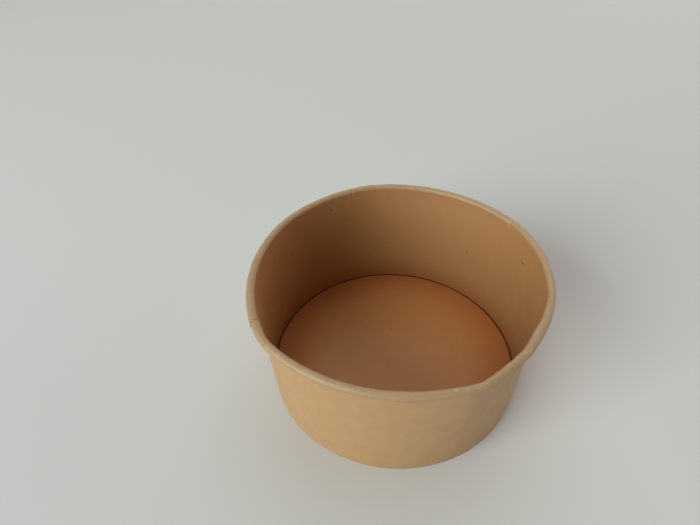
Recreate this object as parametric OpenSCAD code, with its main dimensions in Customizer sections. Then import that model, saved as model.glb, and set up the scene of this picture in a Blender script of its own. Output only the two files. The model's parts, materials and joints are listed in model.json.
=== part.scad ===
// Round paper food bowl with a rolled rim, in kraft paperboard.
// It is made of two pieces. The side wall is one fan-shaped sheet, rolled round and glued along
// an upright lap, with its top edge curled outwards into the rim and its bottom edge folded
// inwards into a hem. The bottom is a disc whose edge is turned down into a skirt, which is
// sealed between the wall and the hem. The bowl stands on the fold of the hem.
// The rim has been handled: it is a little oval, and bent at a few places.
// Lengths are millimetres. The origin is on the table, at the middle of the foot, with +Z up.

/* [Bowl] */
// Mean outside diameter over the rolled rim
rim_d = 150; // [120:0.5:200]
// Outside diameter of the wall at the foot
base_d = 134; // [100:0.5:180]
// Height from the table to the top of the rim, away from the lap
bowl_h = 71.2; // [40:0.1:120]

/* [Side wall] */
// Thickness of the wall's paperboard
wall_t = 0.45; // [0.3:0.05:0.7]
// Outside diameter of the curl that makes the rim
curl_d = 4; // [3:0.1:6]
// Distance that the curl's raw edge keeps from the wall
curl_gap = 0.45; // [0.3:0.05:1]
// Width of the glued lap, measured at the rim
lap_w = 8; // [5:0.5:14]
// Direction of the lap's edge inside the bowl, in degrees from +X
lap_azimuth = -145.2; // [-180:0.1:180]
// Stretch past the lap over which the wall comes back to its own line
lap_ease = 12; // [6:1:25]
// Height above the floor over which the pressed lap opens to its full thickness
lap_rise = 6; // [3:0.5:15]

/* [Foot] */
// Room between the top of the hem and the bend of the bottom disc
hem_room = 0.4; // [0.2:0.1:1.5]
// How far the fold is pressed flat where it meets the table
foot_press = 0.1; // [0.08:0.01:0.15]

/* [Bottom disc] */
// Height of the floor inside the bowl above the table
floor_h = 5.4; // [4:0.1:12]
// Thickness of the disc's paperboard
disc_t = 0.4; // [0.3:0.05:0.6]
// Outside radius of the bend between the floor and the skirt
bend_r = 0.9; // [0.7:0.1:1.5]
// Clearance on each side of the skirt
seal_gap = 0.06; // [0.05:0.01:0.1]

/* [Handling] */
// How far the oval rim stands out along its long way, and in along its short way
oval = 1.4; // [0:0.1:3]
// Direction of the oval's long way, in degrees from +X
oval_azimuth = 85; // [0:1:180]
// How far the strongest bend pushes the rim outwards
bend_push = 3.8; // [0:0.1:6]
// How rounded the crest of each bend is, as a share of its reach
crest = 0.25; // [0.1:0.05:0.6]

/* [Hidden] */
KRAFT = [0.72, 0.57, 0.40];
KRAFT_FLOOR = [0.60, 0.43, 0.28];

// Bends in the rim: direction in degrees from +X, share of the strongest push, reach in degrees
BENDS = [
    [-137, 1, 23],
    [-62, 0.74, 14],
    [-41, 0.11, 3],
    [-8, 0.43, 26],
    [11, 0.17, 8],
    [31, 0.77, 30],
    [105, 0.5, 23],
    [152, 0.13, 14],
];

// Fineness of the curved surfaces
ROUND_STEPS = 92; // columns in the plain stretch of the wall
EASE_STEPS = 3; // columns where the wall comes back to its line past the lap
CURL_STEPS = 15; // facets in the rim's curl
FOLD_STEPS = 5; // facets in the fold of the hem
BEND_STEPS = 8; // facets in the bend of the disc
MEAN_STEPS = 72; // directions that the mean of the bends is taken over

// Section of the side wall: circles of the curl and the fold, on the sheet's middle line
curl_r = (curl_d - wall_t) / 2;
curl_c = [(rim_d - curl_d) / 2, bowl_h - curl_d / 2];
curl_turn = 360 - acos(1 - (curl_gap + wall_t) / curl_r);
fold_r = (disc_t + wall_t) / 2 + seal_gap;
fold_c = [base_d / 2 - fold_r - wall_t / 2, fold_r + wall_t / 2 - foot_press];

// The wall is the straight line that leaves the fold on its outer side and meets the curl on its inner side
fold_to_curl = curl_c - fold_c;
slope = atan2(fold_to_curl[0], fold_to_curl[1]) - asin((curl_r + fold_r) / norm(fold_to_curl));
up = [sin(slope), cos(slope)];
out = [cos(slope), -sin(slope)];

// Angles round the bowl that the lap, its easing and a cut edge of the sheet take up
deg_per_mm = 360 / (PI * rim_d);
lap_deg = lap_w * deg_per_mm;
ease_deg = lap_ease * deg_per_mm;
edge_deg = wall_t / 3 * deg_per_mm;

function total(list, i = 0) = i == len(list) ? 0 : list[i] + total(list, i + 1);
function within_half_turn(a) = a - 360 * floor((a + 180) / 360);
function smooth(x) = let (t = min(1, max(0, x))) t * t * (3 - 2 * t);

// How far the rim stands out of round in one direction: an oval, and crested bends about their mean
function bend(b, azimuth) =
    let (d = within_half_turn(azimuth - b[0]) / b[2])
    bend_push * b[1] * exp(crest - sqrt(d * d + crest * crest));
function bends(azimuth) = total([for (b = BENDS) bend(b, azimuth)]);
bends_mean = total([for (k = [1:MEAN_STEPS]) bends(k * 360 / MEAN_STEPS)]) / MEAN_STEPS;
function push(azimuth) = bends(azimuth) - bends_mean + oval * cos(2 * (azimuth - oval_azimuth));

// A station of the sheet's middle line: its place, the normal on the sheet's outer side,
// and the shares that it takes of the lap's step and of the rim's push
function station(place, normal, lap_share, push_share) = [place, normal, lap_share, push_share];
function on_line(p, z) = p + up * (z - p[1]) / up[1];
function wall_station(z, lap_share) =
    let (push_share = (z - floor_h) / (curl_c[1] - floor_h))
    station(on_line(fold_c + fold_r * out, z), out, lap_share, push_share);

hem_top = floor_h - bend_r - hem_room;
hem_station = station(on_line(fold_c - fold_r * out, hem_top), -out, 0, 0);
fold_stations = [
    for (k = [0:FOLD_STEPS])
        let (a = 180 * k / FOLD_STEPS, way = -cos(a) * out - sin(a) * up)
        station(fold_c + fold_r * way, way, 0, 0)
];
wall_stations = [wall_station(floor_h, 0), wall_station(floor_h + lap_rise, 1)];
curl_stations = [
    for (k = [0:CURL_STEPS])
        let (a = curl_turn * k / CURL_STEPS, way = -cos(a) * out + sin(a) * up)
        station(curl_c + curl_r * way, -way, 1, 1)
];
stations = concat([hem_station], fold_stations, wall_stations, curl_stations);

// Step of the sheet at the lap, for its outer (+1) or inner (-1) side, at an angle past the lap's inner edge
function lap_step(side, a) =
    side > 0 && a <= lap_deg ? 0 : -wall_t * (1 - smooth((a - lap_deg) / ease_deg));

function wall_point(s, side, a) =
    let (
        azimuth = lap_azimuth + a,
        p = s[0] + s[1] * (side * wall_t / 2 + s[2] * lap_step(side, a)),
        r = p[0] + s[3] * push(azimuth)
    )
    [r * cos(azimuth), r * sin(azimuth), p[1]];

// Angles past the lap's inner edge at which the wall's section is drawn
plain_from = lap_deg + ease_deg;
columns = concat(
    [0, lap_deg / 2, lap_deg],
    [for (k = [0:EASE_STEPS - 1]) lap_deg + edge_deg + (ease_deg - edge_deg) * k / EASE_STEPS],
    [for (k = [0:ROUND_STEPS]) plain_from + (360 - edge_deg - plain_from) * k / ROUND_STEPS]
);

// The sheet, rolled, lapped, curled and hemmed, as one closed surface
module sheet() {
    n = len(stations);
    ring = 2 * n;
    m = len(columns);
    points = [
        for (a = columns) each concat(
            [for (k = [0:n - 1]) wall_point(stations[k], 1, a)],
            [for (k = [n - 1:-1:0]) wall_point(stations[k], -1, a)]
        )
    ];
    faces = [
        for (i = [0:m - 1], j = [0:ring - 1])
            let (next = (i + 1) % m, above = (j + 1) % ring)
            [i * ring + j, i * ring + above, next * ring + above, next * ring + j]
    ];
    polyhedron(points, faces, convexity = 6);
}

// The side wall, with the fold of its hem pressed flat on the table
module side_wall() {
    color(KRAFT) difference() {
        sheet();
        translate([-rim_d / 2, -rim_d / 2, -curl_d]) cube([rim_d, rim_d, curl_d]);
    }
}

// The bottom disc: the floor, a bend, and the skirt that runs down into the fold
module bottom_disc() {
    middle_r = bend_r - disc_t / 2;
    bend_z = floor_h - bend_r;
    bend_c = [on_line(fold_c, bend_z)[0] - middle_r / out[0], bend_z];
    bend_ways = [for (k = [0:BEND_STEPS]) let (a = (90 + slope) * k / BEND_STEPS) [sin(a), cos(a)]];
    half = disc_t / 2 * out;
    section = concat(
        [[0, floor_h - disc_t], [0, floor_h]],
        [for (way = bend_ways) bend_c + bend_r * way],
        [fold_c + half, fold_c - half],
        [for (k = [BEND_STEPS:-1:0]) bend_c + (bend_r - disc_t) * bend_ways[k]]
    );
    color(KRAFT_FLOOR) rotate_extrude($fn = 180) polygon(section);
}

side_wall();
bottom_disc();
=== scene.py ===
import json

import bmesh
import bpy
import numpy as np
from mathutils import Matrix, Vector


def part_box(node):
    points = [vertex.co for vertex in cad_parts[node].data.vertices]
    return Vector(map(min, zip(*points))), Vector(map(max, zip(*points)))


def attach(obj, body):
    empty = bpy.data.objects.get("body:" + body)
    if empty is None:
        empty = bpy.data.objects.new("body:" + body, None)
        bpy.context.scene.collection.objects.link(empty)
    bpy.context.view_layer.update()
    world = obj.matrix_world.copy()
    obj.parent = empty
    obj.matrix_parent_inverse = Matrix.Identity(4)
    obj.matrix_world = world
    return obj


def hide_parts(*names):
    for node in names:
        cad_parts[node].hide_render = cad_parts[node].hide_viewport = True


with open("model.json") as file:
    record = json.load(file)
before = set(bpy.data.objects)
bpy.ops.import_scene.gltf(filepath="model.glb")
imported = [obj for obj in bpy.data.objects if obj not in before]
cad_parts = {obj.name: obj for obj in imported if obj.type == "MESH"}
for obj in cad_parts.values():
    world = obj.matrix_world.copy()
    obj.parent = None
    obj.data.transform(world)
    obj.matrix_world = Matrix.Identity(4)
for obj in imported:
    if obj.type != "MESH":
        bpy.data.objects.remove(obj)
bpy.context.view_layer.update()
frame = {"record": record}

# Side wall
# One fan-shaped sheet of brown kraft board with a thin satin coating, rolled round and glued along an
# upright lap. Its top edge is curled outwards into the rim, and its bottom edge is folded in as a hem under
# the floor. Handling has left the rim a little oval, and bent at several places.

# Sizes are in metres, and the tuck's direction, reach and edge are in degrees
MM = 0.001
rim_mount = next(m for m in frame["record"]["mounts"] if m["name"] == "rim")
rim_r = rim_mount["dims"]["r_mm"] * MM
bowl_h = rim_mount["pos_m"][2]
floor_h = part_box("bottom_disc")[1][2]
base_r = 67 * MM
wall_t = 0.45 * MM
disc_t = 0.4 * MM
seal_gap = 0.06 * MM
foot_press = 0.1 * MM
bend_r = 0.9 * MM
hem_room = 0.4 * MM
curl_d = 4 * MM
curl_gap = 0.45 * MM
lap_w = 8 * MM
lap_ease = 12 * MM
lap_rise = 6 * MM
lap_press = 2 * MM
lap_azimuth = np.radians(-145.2)
oval = 1.4 * MM
oval_azimuth = np.radians(85)
bend_push = 3.8 * MM
crest = 0.25
flare = 0.45 * MM
flare_reach = 22 * MM
bulge = 1 * MM
bulge_reach = 10 * MM
tuck_azimuth = 35.5
tuck_in = 0.2 * MM
tuck_out = 0.6 * MM
tuck_reach = 7
tuck_edge = 1.2
tuck_rise = 2 * MM
nip_rise = 7 * MM
crinkle = 0.1 * MM
# Bends in the rim: direction in degrees from +X, share of the strongest push, reach in degrees
bends = np.array([
    [-137, 1, 23],
    [-62, 0.74, 14],
    [-41, 0.11, 3],
    [-8, 0.43, 26],
    [11, 0.17, 8],
    [31, 0.77, 30],
    [105, 0.5, 23],
    [152, 0.13, 14],
])
# Nips in the curl's inner edge: direction in degrees from +X, distance outwards in mm, reach in degrees
nips = np.array([
    [-137.8, 0.75, 4],
    [-61.5, 0.4, 2],
    [-46, 0.2, 4],
    [-30.5, -0.45, 4],
    [-10, 0.45, 4],
])

curl_r = (curl_d - wall_t) / 2
curl_c = np.array([rim_r - curl_d / 2, bowl_h - curl_d / 2])
curl_turn = 2 * np.pi - np.arccos(1 - (curl_gap + wall_t) / curl_r)
fold_r = (disc_t + wall_t) / 2 + seal_gap
fold_c = np.array([base_r - fold_r - wall_t / 2, fold_r + wall_t / 2 - foot_press])
rise = curl_c - fold_c
slope = np.arctan2(*rise) - np.arcsin((curl_r + fold_r) / np.hypot(*rise))
up = np.array([np.sin(slope), np.cos(slope)])
out = np.array([np.cos(slope), -np.sin(slope)])


def on_line(start, z):
    """The points at heights z on the line through start that runs up the wall."""
    return start + np.outer((np.atleast_1d(z) - start[1]) / up[1], up)


def turned(first, second, angle):
    """Unit directions that turn from first towards second by each angle."""
    return np.outer(np.cos(angle), first) + np.outer(np.sin(angle), second)


def sheet_section(hem_n, fold_n, wall_n, curl_n):
    """Middle line of the sheet, from the hem's top round the fold, up the straight wall in ever closer steps,
    and round the curl. Returns its places, its normals on the sheet's outer side, and the distance along
    it."""
    hem_z = np.linspace(floor_h - bend_r - hem_room, fold_c[1], hem_n, endpoint=False)
    hem = on_line(fold_c - fold_r * out, hem_z)
    fold_way = turned(-out, -up, np.linspace(0, np.pi, fold_n))
    fold = fold_c + fold_r * fold_way
    curl_way = turned(-out, up, np.linspace(0, curl_turn, curl_n))
    curl = curl_c + curl_r * curl_way
    share = np.linspace(0, 1, wall_n + 2)[1:-1, None]
    wall = fold[-1] + (curl[0] - fold[-1]) * share * (2 - share)
    place = np.concatenate([hem, fold, wall, curl])
    normal = np.concatenate([np.tile(-out, (hem_n, 1)), fold_way, np.tile(out, (wall_n, 1)), -curl_way])
    along = np.append(0, np.cumsum(np.hypot(*np.diff(place, axis=0).T)))
    return place, normal, along


def degrees_past(direction, azimuth):
    """How far each azimuth lies past a direction, in degrees between -180 and 180."""
    return (np.degrees(azimuth) - direction + 180) % 360 - 180


def crested(azimuth, rows):
    """Sum of crested bumps, each with a direction, a height and a reach, which fall off as exp(-distance)
    from a rounded crest."""
    off = degrees_past(rows[:, 0], azimuth[..., None])
    return (rows[:, 1] * np.exp(crest - np.hypot(off / rows[:, 2], crest))).sum(-1)


mean_n = 72
all_round = np.linspace(0, 2 * np.pi, mean_n, endpoint=False)
bend_mean = crested(all_round, bends).mean()


def rim_push(azimuth):
    """How far the rim stands out of round: an oval, and the bends about their mean."""
    return bend_push * (crested(azimuth, bends) - bend_mean) + oval * np.cos(2 * (azimuth - oval_azimuth))


def smooth(x):
    """Smooth step from 0 to 1."""
    t = np.clip(x, 0, 1)
    return t * t * (3 - 2 * t)


def lap_step(side, past):
    """How far the sheet steps in at the lap, on its outer (+1) or inner (-1) side: one board thickness over
    the lap, easing back to nothing past it. On the outer side the pressed edge makes the step a short
    slope."""
    step = -wall_t * (1 - smooth((past - lap_w) / lap_ease))
    return step * smooth((past - lap_w) / lap_press) if side > 0 else step


def tuck(azimuth):
    """Jog in the curl's inner edge, from out of line to in, which fades as exp(-distance) on either side."""
    off = degrees_past(tuck_azimuth, azimuth)
    jog = tuck_out - (tuck_out + tuck_in) * smooth(off / tuck_edge + 0.5)
    return jog * np.exp(-np.abs(off) / tuck_reach)


girth = 2 * np.pi * rim_r


def outer_edge(past):
    """How far the curl's outer edge stands out of line: at the lap's edge it is open on one side and drawn
    in by as much on the other, and both fade as exp(-distance)."""
    return flare * (np.exp((past - girth) / flare_reach) - np.exp(-past / flare_reach))


# Waves in one turn of the rim: fine ones, and slower ones that they swell and fade with
waves_out = (61, 19)
waves_up = (47, 23)


def crinkles(azimuth, fast, slow):
    """Fine unevenness of the curl: a wave round the rim that swells and fades with a slower one."""
    return crinkle * np.sin(fast * azimuth) * np.cos(slow * azimuth)


def wall_side(section, past, side):
    """One side of the sheet as a grid: the section carried round the axis, offset by half the board and the
    lap's step, and pushed out of round in proportion to its height above the floor. The curl is also
    stretched between its inner and outer edges, nipped, tucked and crinkled, and drawn along over the top
    beside the lap."""
    place, normal, _ = section
    azimuth = lap_azimuth + past / rim_r
    height = (place[:, 1] - floor_h) / (curl_c[1] - floor_h)
    in_curl = np.arange(len(place)) >= len(place) - curl_n
    push_share = np.where(in_curl, 1, np.clip(height, 0, 1))
    lap_share = np.where(in_curl, 1, np.clip((place[:, 1] - floor_h) / lap_rise, 0, 1))
    offset = side * wall_t / 2 + np.outer(lap_step(side, past), lap_share)
    p = place + normal * offset[..., None]
    outer_share = np.where(in_curl, (1 + (place[:, 0] - curl_c[0]) / curl_r) / 2, 0)
    top_share = np.where(in_curl, np.clip((place[:, 1] - curl_c[1]) / curl_r, 0, 1), 0)
    below = np.where(in_curl, 0, place[:, 1] - curl_c[1])
    nip_share = smooth(1 + below / nip_rise) * (1 - outer_share)
    tuck_share = smooth(1 + below / tuck_rise) * (1 - outer_share)
    push = np.outer(rim_push(azimuth), push_share) + np.outer(outer_edge(past), outer_share)
    push += np.outer(crested(azimuth, nips) * MM, nip_share) + np.outer(tuck(azimuth), tuck_share)
    r = p[..., 0] + push + np.outer(crinkles(azimuth, *waves_out), top_share)
    z = p[..., 1] + np.outer(crinkles(azimuth, *waves_up), top_share)
    near_lap = np.exp(-np.minimum(past, girth - past) / bulge_reach)
    turn = azimuth[:, None] - np.outer(near_lap, top_share) * bulge / rim_r
    return np.stack([r * np.cos(turn), r * np.sin(turn), np.maximum(z, 0)], -1)


weld = 0.001 * MM
sharp_turn = np.radians(50)


def closed_grid(name, grid, uv, wrap_along):
    """Mesh over a grid of points that closes on itself round the axis. Along the section it closes too if
    wrap_along, and otherwise its ends lie on the axis, where their points are welded into one. uv holds each
    corner's place on the map, with one more wherever the grid closes."""
    rows, cols = grid.shape[:2]
    index = np.arange(rows * cols).reshape(rows, cols)
    wide = np.concatenate([index, index[:1]], 0)
    wide = np.concatenate([wide, wide[:, :1]], 1) if wrap_along else wide

    def corners(a):
        return np.stack([a[:-1, :-1], a[1:, :-1], a[1:, 1:], a[:-1, 1:]], 2)

    faces = corners(wide).reshape(-1, 4)
    mesh = bpy.data.meshes.new(name)
    mesh.from_pydata(grid.reshape(-1, 3), [], faces, shade_flat=False)
    layer = mesh.uv_layers.new(name="sheet")
    layer.uv.foreach_set("vector", corners(uv).reshape(-1).astype(np.float32))
    if not wrap_along:
        solid = bmesh.new()
        solid.from_mesh(mesh)
        bmesh.ops.remove_doubles(solid, verts=solid.verts, dist=weld)
        solid.to_mesh(mesh)
        solid.free()
    mesh.set_sharp_from_angle(angle=sharp_turn)
    piece = bpy.data.objects.new(name, mesh)
    bpy.context.scene.collection.objects.link(piece)
    return piece


hem_n, fold_n, wall_n, curl_n = 2, 9, 22, 30
lap_n, press_n, ease_n, round_n = 13, 9, 16, 560
section = sheet_section(hem_n, fold_n, wall_n, curl_n)
sheet_line, _, sheet_along = section
edge_w = wall_t / 3
past = np.concatenate([
    np.linspace(0, lap_w, lap_n),
    np.linspace(lap_w, lap_w + lap_press, press_n)[1:-1],
    np.linspace(lap_w + lap_press, lap_w + lap_ease, ease_n, endpoint=False),
    np.linspace(lap_w + lap_ease, girth - edge_w, round_n),
])
outer = wall_side(section, past, 1)
inner = wall_side(section, past, -1)
wall_grid = np.concatenate([outer, inner[:, ::-1]], 1)
# On the map, the outer side's path runs from 0 and the inner side's runs on from INNER_V, both in metres
INNER_V = 0.1
path_v = np.concatenate([sheet_along, INNER_V + sheet_along[::-1], [0]])
wall_uv = np.stack(np.meshgrid(np.append(past, girth), path_v, indexing="ij"), -1)
side_wall = closed_grid("paper_wall", wall_grid, wall_uv, wrap_along=True)


class Wire:
    """A socket in a material's node tree. Arithmetic on it adds Math nodes."""

    def __init__(self, tree, socket=None):
        self.tree = tree
        self.socket = socket

    def node(self, kind, settings, inputs, output=0):
        """A new node of this kind. Its settings are set first, then its sockets get values or links."""
        made = self.tree.nodes.new("ShaderNode" + kind)
        for key, value in settings.items():
            setattr(made, key, value)
        for key, value in inputs.items():
            if isinstance(value, Wire):
                self.tree.links.new(value.socket, made.inputs[key])
            else:
                made.inputs[key].default_value = value
        return Wire(self.tree, made.outputs[output])

    def math(self, operation, first, second=0.0):
        """A Math node on two values or wires."""
        return self.node("Math", {"operation": operation}, {0: first, 1: second})

    def __add__(self, other):
        return self.math("ADD", self, other)

    def __mul__(self, other):
        return self.math("MULTIPLY", self, other)

    def __sub__(self, other):
        return self.math("SUBTRACT", self, other)

    def __rsub__(self, other):
        return self.math("SUBTRACT", other, self)

    __radd__ = __add__
    __rmul__ = __mul__

    def between(self, low, high):
        """0 below low, 1 above high, and a smooth step between them."""
        settings = {"interpolation_type": "SMOOTHSTEP"}
        return self.node("MapRange", settings, {"Value": self, "From Min": low, "From Max": high})

    def band(self, low, high, soft):
        """1 from low to high, falling off to 0 over the distance soft at either end."""
        return self.between(low - soft, low) * (1 - self.between(high, high + soft))

    def mix(self, first, second):
        """The colour first where this is 0 and second where it is 1."""
        settings = {"data_type": "RGBA"}
        return self.node("Mix", settings, {"Factor": self, "A": first, "B": second}, "Result")

    def stretched(self, x, y, z):
        """The place that this is, with its distances counted in features of these lengths."""
        return self.node("Mapping", {}, {"Vector": self, "Scale": (1 / x, 1 / y, 1 / z)})

    def noise(self, detail):
        """Soft noise about 0, with features of about one unit of this place."""
        return self.node("TexNoise", {}, {"Vector": self, "Scale": 1.0, "Detail": detail}) - 0.5


def colour(r, g, b):
    """An opaque colour, from its linear red, green and blue."""
    return (r, g, b, 1.0)


def board_place(name, coordinates):
    """A new material for coated kraft board, and the place on the board that its pattern follows."""
    material = bpy.data.materials.new(name)
    material.use_nodes = True
    return material, Wire(material.node_tree).node("TexCoord", {}, {}, coordinates)


# The board's features: their lengths along the sheet, across it and through it, and their shares in its tone
fibre_lengths = (1.3 * MM, 0.35 * MM, 0.35 * MM)
grain_lengths = (0.35 * MM, 0.3 * MM, 0.3 * MM)
cloud_lengths = (6 * MM, 8 * MM, 6 * MM)
fleck_lengths = (3.2 * MM, 1.9 * MM, 1.9 * MM)
fibre_share, grain_share, cloud_share = 0.14, 0.10, 0.13
fibre_detail, grain_detail, cloud_detail = 2.0, 1.0, 3.0
# Flecks: their full and fading reach in a cell, their strength, and the shares of cells that hold one
fleck_core, fleck_edge = 0.03, 0.09
fleck_depth = 0.45
dark_share, pale_share, share_soft = 0.2, 0.1, 0.02
DARK_FLECK = colour(0.17, 0.085, 0.035)
PALE_FLECK = colour(0.62, 0.48, 0.32)
# The coat's relief over the fibres and the grain, and how much the cloudy pulp changes its gloss
fibre_relief, grain_relief = 0.6, 0.4
coat_strength = 0.25
coat_depth = 0.05 * MM
cloud_gloss = 0.15


def finish_board(material, where, tone, roughness, specular):
    """Kraft board of one tone: long fibres, fine grain and a soft cloud of lighter and darker pulp, with
    sparse dark and pale flecks, under a thin satin coat that follows the fibres."""
    fibre = where.stretched(*fibre_lengths).noise(fibre_detail)
    grain = where.stretched(*grain_lengths).noise(grain_detail)
    cloud = where.stretched(*cloud_lengths).noise(cloud_detail)
    value = 1 + fibre_share * fibre + grain_share * grain + cloud_share * cloud
    pulp = where.node("HueSaturation", {}, {"Color": tone, "Value": value})
    cells = {"Vector": where.stretched(*fleck_lengths), "Scale": 1.0}
    near = where.node("TexVoronoi", {}, cells, "Distance")
    pick = where.node("SeparateColor", {}, {"Color": where.node("TexVoronoi", {}, cells, "Color")}, 0)
    fleck = (1 - near.between(fleck_core, fleck_edge)) * fleck_depth
    dark_cell = pick.between(1 - dark_share, 1 - dark_share + share_soft)
    pale_cell = 1 - pick.between(pale_share, pale_share + share_soft)
    flecked = (fleck * dark_cell).mix(pulp, DARK_FLECK)
    flecked = (fleck * pale_cell).mix(flecked, PALE_FLECK)
    height = fibre_relief * fibre + grain_relief * grain
    relief = {"Height": height, "Strength": coat_strength, "Distance": coat_depth}
    coat = where.node("Bump", {}, relief, "Normal")
    shader = material.node_tree.nodes["Principled BSDF"]
    shader.inputs["Specular IOR Level"].default_value = specular
    material.node_tree.links.new(flecked.socket, shader.inputs["Base Color"])
    material.node_tree.links.new((roughness - cloud_gloss * cloud).socket, shader.inputs["Roughness"])
    material.node_tree.links.new(coat.socket, shader.inputs["Normal"])


speck_core, speck_edge = 0.2, 0.6


def marked(where, tone, middle, lengths, mark_tone, depth):
    """The tone with a soft oval speck about a place: full to speck_core of its lengths, and gone at
    speck_edge of them."""
    away = where.node("VectorMath", {"operation": "SUBTRACT"}, {0: where, 1: middle})
    reach = away.stretched(*lengths)
    distance = reach.node("VectorMath", {"operation": "LENGTH"}, {0: reach}, "Value")
    return (depth * (1 - distance.between(speck_core, speck_edge))).mix(tone, mark_tone)


def sheet_u(azimuth):
    """Place on the map of a direction, given in degrees from +X."""
    return (np.radians(azimuth) - lap_azimuth) % (2 * np.pi) * rim_r


def sheet_v(z):
    """Place on the map of a height on the inner side of the straight wall."""
    straight = slice(hem_n + fold_n - 1, 1 - curl_n)
    return INNER_V + np.interp(z, sheet_line[straight, 1], sheet_along[straight])


OUTSIDE = colour(0.496, 0.283, 0.124)
INSIDE = colour(0.41, 0.201, 0.0745)
# Painted shade for the inside wall towards its foot
FOOT_SHADE = colour(0.356, 0.15, 0.046)
RIM = colour(0.417, 0.259, 0.125)
# Painted shade, for the groove round the floor and the gap at the lap's edge
PAINTED_SHADE = colour(0.045, 0.016, 0.006)
DARK_SPECK = colour(0.05, 0.02, 0.01)
PALE_SPECK = colour(0.55, 0.42, 0.28)
curl_v = INNER_V + sheet_along[-curl_n]
top_v = curl_v + curl_r * np.pi / 2
# Specks in the board: direction in degrees, place across the sheet, lengths along and across it in mm, tone
# and strength
specks = [
    (125.4, sheet_v(62.4 * MM), 1.2, 1.2, DARK_SPECK, 0.95),
    (152.4, sheet_v(48.2 * MM), 1.2, 1.2, DARK_SPECK, 0.95),
    (20.3, sheet_v(56.4 * MM), 3.2, 0.9, DARK_SPECK, 0.9),
    (52.9, sheet_v(36.9 * MM), 1.5, 0.9, DARK_SPECK, 0.7),
    (114.4, sheet_v(63.5 * MM), 0.8, 1, DARK_SPECK, 0.5),
    (116.1, sheet_v(49.2 * MM), 0.9, 1.1, PALE_SPECK, 0.9),
    (96.4, sheet_v(28.8 * MM), 1, 0.9, PALE_SPECK, 0.8),
    (143.4, sheet_v(60.1 * MM), 0.8, 1, PALE_SPECK, 0.7),
    # The pale and dark streaks side by side at 113.5 and 114.3 degrees are a painted highlight and painted
    # shade on the two sides of a small wrinkle below the rim
    (113.5, sheet_v(68.8 * MM), 0.7, 4.5, PALE_SPECK, 0.7),
    (114.3, sheet_v(68.8 * MM), 0.6, 4.5, DARK_SPECK, 0.4),
    (-170.3, top_v, 0.7, 0.6, DARK_SPECK, 0.6),
    (-95.2, curl_v + 3.7 * MM, 0.8, 0.6, DARK_SPECK, 0.35),
    (-89.3, curl_v + 5.3 * MM, 2.6, 0.5, PALE_SPECK, 0.35),
    (-70.6, curl_v + 2.4 * MM, 2.6, 2, PALE_SPECK, 0.4),
    (-40.5, top_v + 0.8 * MM, 2, 1.4, PALE_SPECK, 0.45),
]

wall_board, on_sheet = board_place("kraft_wall", "UV")
around = on_sheet.node("SeparateXYZ", {}, {"Vector": on_sheet}, "X")
across = on_sheet.node("SeparateXYZ", {}, {"Vector": on_sheet}, "Y")
inner_side = across.between(INNER_V - MM, INNER_V)
rim_from = curl_v - 0.6 * MM
rim_to = curl_v + 0.8 * MM
in_rim = across.between(rim_from, rim_to)
# Painted shade: the inside wall is painted darker and redder towards its foot, where the corner round the
# floor lies in shade
foot_shade_rise = 22 * MM
foot_shade = 1 - across.between(sheet_v(floor_h), sheet_v(foot_shade_rise))
inside_tone = foot_shade.mix(INSIDE, FOOT_SHADE)
wall_tone = in_rim.mix(inner_side.mix(OUTSIDE, inside_tone), RIM)
# Painted shade: the wall is painted dark in the groove beside the floor, and along the lap's edge on the rim
groove_shade_w = 2 * MM
groove_shade_soft = 0.15 * MM
wall_groove_shade = across.band(sheet_v(floor_h - groove_shade_w), sheet_v(floor_h), groove_shade_soft)
wall_tone = wall_groove_shade.mix(wall_tone, PAINTED_SHADE)
# Painted shade of the gap at the lap's edge on the rim, darker past the curl's top on its outer side
lap_shade_w = 0.3 * MM
lap_shade_run = 2 * MM
lap_inner_depth, lap_outer_depth = 0.5, 0.95
lap_shade = in_rim * (1 - around.between(lap_shade_w, 2 * lap_shade_w))
past_top = across.between(top_v, top_v + lap_shade_run)
lap_depth = lap_inner_depth + (lap_outer_depth - lap_inner_depth) * past_top
wall_tone = (lap_shade * lap_depth).mix(wall_tone, PAINTED_SHADE)
# The rim's curl is scuffed paler in places
scuff_lengths = (5 * MM, 1.4 * MM, MM)
scuff_detail = 2.0
scuff_from, scuff_to = 0.03, 0.23
scuff_depth = 0.25
scuff = on_sheet.stretched(*scuff_lengths).noise(scuff_detail).between(scuff_from, scuff_to)
wall_tone = (scuff_depth * in_rim * scuff).mix(wall_tone, PALE_SPECK)
for direction, place_v, length_u, length_v, speck_tone, depth in specks:
    lengths = (length_u * MM, length_v * MM, MM)
    wall_tone = marked(on_sheet, wall_tone, (sheet_u(direction), place_v, 0), lengths, speck_tone, depth)
finish_board(wall_board, on_sheet, wall_tone, roughness=0.515, specular=0.65)
side_wall.data.materials.append(wall_board)
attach(side_wall, "root")
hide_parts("side_wall")

# Bottom disc
# A disc of the same board, with its edge turned down into a skirt that is sealed between the wall and the
# hem. The turned edge and the wall leave a thin groove round the floor, whose shade is painted dark on both.
middle_r = bend_r - disc_t / 2
bend_z = floor_h - bend_r
bend_c = np.array([on_line(fold_c, bend_z)[0, 0] - middle_r / out[0], bend_z])


def disc_section(floor_n, bend_n):
    """Outline of the disc: out underneath, down the skirt and up its outer side, round the bend, and back
    over the floor."""
    ways = turned(np.array([0, 1]), np.array([1, 0]), np.linspace(0, np.pi / 2 + slope, bend_n))
    floor_r = np.linspace(0, bend_c[0], floor_n, endpoint=False)
    top = np.stack([floor_r, np.full(floor_n, floor_h)], 1)
    under = top - [0, disc_t]
    half = disc_t / 2 * out
    skirt = np.stack([fold_c - half, fold_c + half])
    bend_over = bend_c + bend_r * ways
    bend_under = bend_c + (bend_r - disc_t) * ways
    return np.concatenate([under, bend_under, skirt, bend_over[::-1], top[::-1]])


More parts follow.
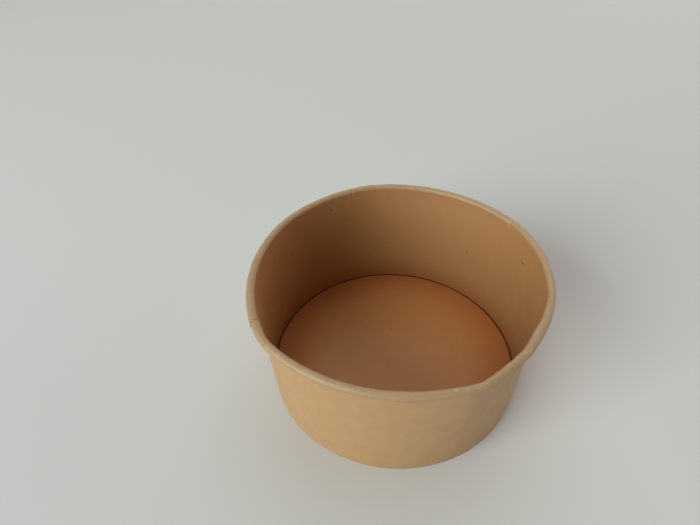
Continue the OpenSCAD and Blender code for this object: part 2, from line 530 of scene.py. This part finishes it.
floor_n, bend_n, disc_n = 12, 14, 480
disc_line = disc_section(floor_n, bend_n)
disc_turn = np.linspace(0, 2 * np.pi, disc_n, endpoint=False)
disc_grid = np.stack([
    np.outer(np.cos(disc_turn), disc_line[:, 0]),
    np.outer(np.sin(disc_turn), disc_line[:, 0]),
    np.tile(disc_line[:, 1], (len(disc_turn), 1)),
], -1)
disc_along = np.append(0, np.cumsum(np.hypot(*np.diff(disc_line, axis=0).T)))
disc_uv = np.stack(np.meshgrid(np.append(disc_turn, 2 * np.pi) * base_r, disc_along, indexing="ij"), -1)
bottom_disc = closed_grid("paper_disc", disc_grid, disc_uv, wrap_along=False)
FLOOR = colour(0.532, 0.235, 0.075)
# Painted shade for the floor towards its edge
FLOOR_EDGE_SHADE = colour(0.459, 0.15, 0.045)
disc_board, on_disc = board_place("kraft_floor", "Object")
flat = on_disc.node("VectorMath", {"operation": "MULTIPLY"}, {0: on_disc, 1: (1, 1, 0)})
from_axis = flat.node("VectorMath", {"operation": "LENGTH"}, {0: flat}, "Value")
disc_z = on_disc.node("SeparateXYZ", {}, {"Vector": on_disc}, "Z")
upper_from = floor_h - 0.3 * MM
upper_to = floor_h - 0.2 * MM
upper_side = disc_z.between(upper_from, upper_to)
# Painted shade: the floor is painted darker and redder towards its edge, where it lies in the wall's shade
edge_from = 38 * MM
edge_to = 70 * MM
edge_shade = from_axis.between(edge_from, edge_to)
disc_tone = upper_side.mix(OUTSIDE, edge_shade.mix(FLOOR, FLOOR_EDGE_SHADE))
# Painted shade: the floor is painted dark where its bend runs down into the groove beside the wall
groove_from = bend_c[0] + 0.35 * bend_r
groove_to = bend_c[0] + 0.6 * bend_r
disc_groove_shade = from_axis.between(groove_from, groove_to)
disc_tone = disc_groove_shade.mix(disc_tone, PAINTED_SHADE)
speck_turn = np.radians(94.7)
speck_r = 18 * MM
speck_lengths = (0.9 * MM, 0.9 * MM, MM)
speck_depth = 0.6
speck_place = (speck_r * np.cos(speck_turn), speck_r * np.sin(speck_turn), floor_h)
disc_tone = marked(on_disc, disc_tone, speck_place, speck_lengths, DARK_SPECK, speck_depth)
finish_board(disc_board, on_disc, disc_tone, roughness=0.312, specular=0.258)
bottom_disc.data.materials.append(disc_board)
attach(bottom_disc, "root")
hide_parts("bottom_disc")

# Table, light and camera
# A plain pale table under three soft lamps: one low at the near left, a large one high at the back, and a
# wide low one on the right. The camera looks down as in the photograph.
table_half = 2.0
table_rough = 0.8
table_mesh = bpy.data.meshes.new("table")
table_corners = [(-1, -1, 0), (1, -1, 0), (1, 1, 0), (-1, 1, 0)]
table_mesh.from_pydata(np.array(table_corners) * table_half, [], [(0, 1, 2, 3)])
table = bpy.data.objects.new("table", table_mesh)
bpy.context.scene.collection.objects.link(table)
TABLE = colour(0.685, 0.684, 0.658)
pale = bpy.data.materials.new("pale_table")
pale.use_nodes = True
pale_shader = pale.node_tree.nodes["Principled BSDF"]
pale_shader.inputs["Base Color"].default_value = TABLE
pale_shader.inputs["Roughness"].default_value = table_rough
table_mesh.materials.append(pale)


def looking(place, right_way, up_way, back_way):
    """The pose of a lamp or camera at a place, from the ways of its right, its top and its back."""
    return Matrix.Translation(place) @ Matrix(np.stack([right_way, up_way, back_way], 1).tolist()).to_4x4()


lamp_far = 3.0


def area_lamp(name, azimuth, elevation, size, power, tint):
    """A soft lamp that faces the bowl from a direction, azimuth from +X and elevation in degrees."""
    data = bpy.data.lights.new(name, "AREA")
    data.shape = "RECTANGLE"
    data.size, data.size_y = size
    data.energy = power
    data.color = tint
    a = np.radians(azimuth)
    e = np.radians(elevation)
    back_way = np.array([np.cos(e) * np.cos(a), np.cos(e) * np.sin(a), np.sin(e)])
    right_way = np.array([-np.sin(a), np.cos(a), 0])
    lamp = bpy.data.objects.new(name, data)
    lamp.matrix_world = looking(back_way * lamp_far, right_way, np.cross(back_way, right_way), back_way)
    lamp.visible_camera = False
    bpy.context.scene.collection.objects.link(lamp)


# Lamps: name, azimuth, elevation, width and height in metres, power in watts, tint
lamps = [
    ("window", 226.3, 25.3, (2.03, 2.12), 88, (0.94, 1.034, 1.02)),
    ("back", 92.8, 57.4, (3.0, 5.4), 47, (1, 1, 1)),
    ("right", 32.3, 15.6, (5.6, 1.49), 39, (1.13, 0.95, 0.87)),
]
for lamp_row in lamps:
    area_lamp(*lamp_row)
world = bpy.data.worlds.new("studio")
world.use_nodes = True
backdrop = world.node_tree.nodes["Background"]
backdrop.inputs["Color"].default_value = colour(1, 1, 1)
# The world gives a little light all round, and looks paler where it is seen straight or in a reflection
ambient, seen_level, mirrored_level = 0.08, 0.5, 0.206
sky = Wire(world.node_tree)
camera_ray = sky.node("LightPath", {}, {}, "Is Camera Ray")
glossy_ray = sky.node("LightPath", {}, {}, "Is Glossy Ray")
passing_ray = sky.node("LightPath", {}, {}, "Is Transmission Ray")
strength = ambient + seen_level * camera_ray + mirrored_level * (glossy_ray + passing_ray)
world.node_tree.links.new(strength.socket, backdrop.inputs["Strength"])
bpy.context.scene.world = world

photo_w = 700
focal_px = 500
camera_place = (0, -0.18559, 0.23212)
yaw, pitch, roll = np.radians([-7.137, 40.62, 1.669])
forward = np.array([np.sin(yaw) * np.cos(pitch), np.cos(yaw) * np.cos(pitch), -np.sin(pitch)])
level_way = np.cross(forward, [0, 0, 1])
level_way = level_way / np.linalg.norm(level_way)
down_way = np.cross(forward, level_way)
camera_right = np.cos(roll) * level_way + np.sin(roll) * down_way
camera_down = np.cos(roll) * down_way - np.sin(roll) * level_way
camera_data = bpy.data.cameras.new("camera")
camera_data.sensor_width = 36
camera_data.lens = camera_data.sensor_width * focal_px / photo_w
camera_data.clip_start = 0.01
camera = bpy.data.objects.new("camera", camera_data)
camera.matrix_world = looking(camera_place, camera_right, -camera_down, -forward)
bpy.context.scene.collection.objects.link(camera)
bpy.context.scene.camera = camera
bpy.context.scene.view_settings.view_transform = "Standard"
